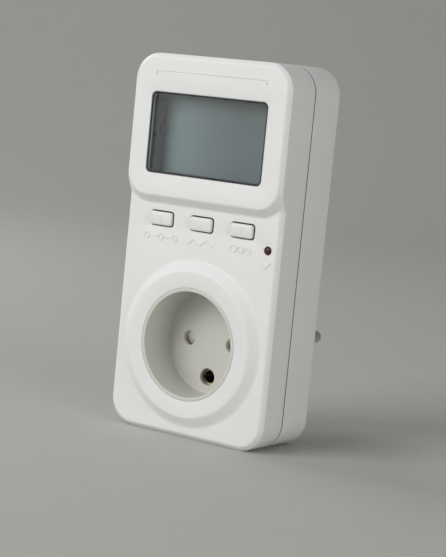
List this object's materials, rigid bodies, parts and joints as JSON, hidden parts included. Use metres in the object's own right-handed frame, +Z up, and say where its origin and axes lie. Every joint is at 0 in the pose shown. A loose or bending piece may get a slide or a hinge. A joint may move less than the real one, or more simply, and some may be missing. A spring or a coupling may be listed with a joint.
{
  "type": "plug in power meter",
  "caption": "Wall-plug electricity meter: white housing with a blank display, press keys, an indicator lamp, a recessed socket and plug pins behind.",
  "frame": {"origin": "middle of the housing's flat underside, on which the meter stands", "axes": "+X to the right seen from the front, +Y from the display side towards the plug pins, +Z up"},
  "size_m": [0.068, 0.0735, 0.1364],
  "materials": {
    "housing_white": "satin moulded ABS with a fine even texture",
    "insert_white": "smooth moulded thermoset, a little warmer than the housing",
    "carrier_grey": "moulded PBT",
    "shutter_ivory": "smooth acetal",
    "spring_steel": "bright drawn wire",
    "contact_brass": "stamped spring brass",
    "pin_nickel": "nickel-plated turned brass",
    "live_lead": "brown PVC insulation",
    "neutral_lead": "blue PVC insulation",
    "lens_clear": "clear polished acrylic",
    "holder_black": "black moulded ABS with a light gloss",
    "display_grey": "reflective liquid crystal glass, blank",
    "zebra_rubber": "layered silicone connector",
    "key_white": "smooth slightly translucent ABS",
    "switch_black": "moulded black nylon",
    "lamp_red": "dark red diffused epoxy, unlit",
    "lead_tin": "tinned steel",
    "board_green": "solder resist over glass-epoxy laminate",
    "film_yellow": "moulded film capacitor case",
    "can_sleeve": "shrunk sleeve over an aluminium can",
    "disc_blue": "epoxy-dipped disc",
    "resistor_tan": "lacquered body",
    "epoxy_black": "black potting epoxy",
    "screw_steel": "zinc-plated steel",
    "shunt_manganin": "manganin strip"
  },
  "bodies": {
    "housing": {"front_cover": "housing_white", "rear_cover": "housing_white", "socket_insert": "insert_white", "contact_carrier": "carrier_grey", "shutter_spring": "spring_steel", "live_contact": "contact_brass", "neutral_contact": "contact_brass", "earth_contact": "contact_brass", "live_pin": "pin_nickel", "neutral_pin": "pin_nickel", "earth_pin": "pin_nickel", "neutral_strip": "contact_brass", "earth_strip": "contact_brass", "live_in_wire": "live_lead", "neutral_wire": "neutral_lead", "live_out_wire": "live_lead", "display_frame": "holder_black", "display_window": "lens_clear", "display_glass": "display_grey", "upper_zebra_strip": "zebra_rubber", "lower_zebra_strip": "zebra_rubber", "status_lamp": "lamp_red", "lamp_leads": "lead_tin", "display_board": "board_green", "power_board": "board_green", "board_header": "switch_black", "mains_capacitor": "film_yellow", "metering_chip": "epoxy_black", "crystal": "lead_tin", "storage_capacitors": "can_sleeve", "surge_absorber": "disc_blue", "rectifier_diodes": "epoxy_black", "dropper_resistors": "resistor_tan", "current_shunt": "shunt_manganin", "cell_holder": "switch_black", "backup_cell": "lead_tin", "controller_chip": "epoxy_black", "housing_screws": "screw_steel", "display_board_screws": "screw_steel", "power_board_screws": "screw_steel", "carrier_screws": "screw_steel", "function_switch": "switch_black", "power_switch": "switch_black", "cost_switch": "switch_black"},
    "function_key": {"function_button": "key_white", "function_plunger": "switch_black"},
    "power_key": {"power_button": "key_white", "power_plunger": "switch_black"},
    "cost_key": {"cost_button": "key_white", "cost_plunger": "switch_black"},
    "shutter_slide_body": {"shutter": "shutter_ivory"}
  },
  "joints": [
    {"name": "function_press", "type": "slide", "parent": "housing", "child": "function_key", "axis": [0, 1, 0], "range_m": [0, 0.0005], "stiffness_N_per_m": 400, "springref_m": -0.002},
    {"name": "power_press", "type": "slide", "parent": "housing", "child": "power_key", "axis": [0, 1, 0], "range_m": [0, 0.0005], "stiffness_N_per_m": 400, "springref_m": -0.002},
    {"name": "cost_press", "type": "slide", "parent": "housing", "child": "cost_key", "axis": [0, 1, 0], "range_m": [0, 0.0005], "stiffness_N_per_m": 400, "springref_m": -0.002},
    {"name": "shutter_lift", "type": "slide", "parent": "housing", "child": "shutter_slide_body", "axis": [0, 0, 1], "range_m": [0, 0.0062], "stiffness_N_per_m": 80, "springref_m": -0.004, "deforming": ["shutter_spring"]}
  ]
}
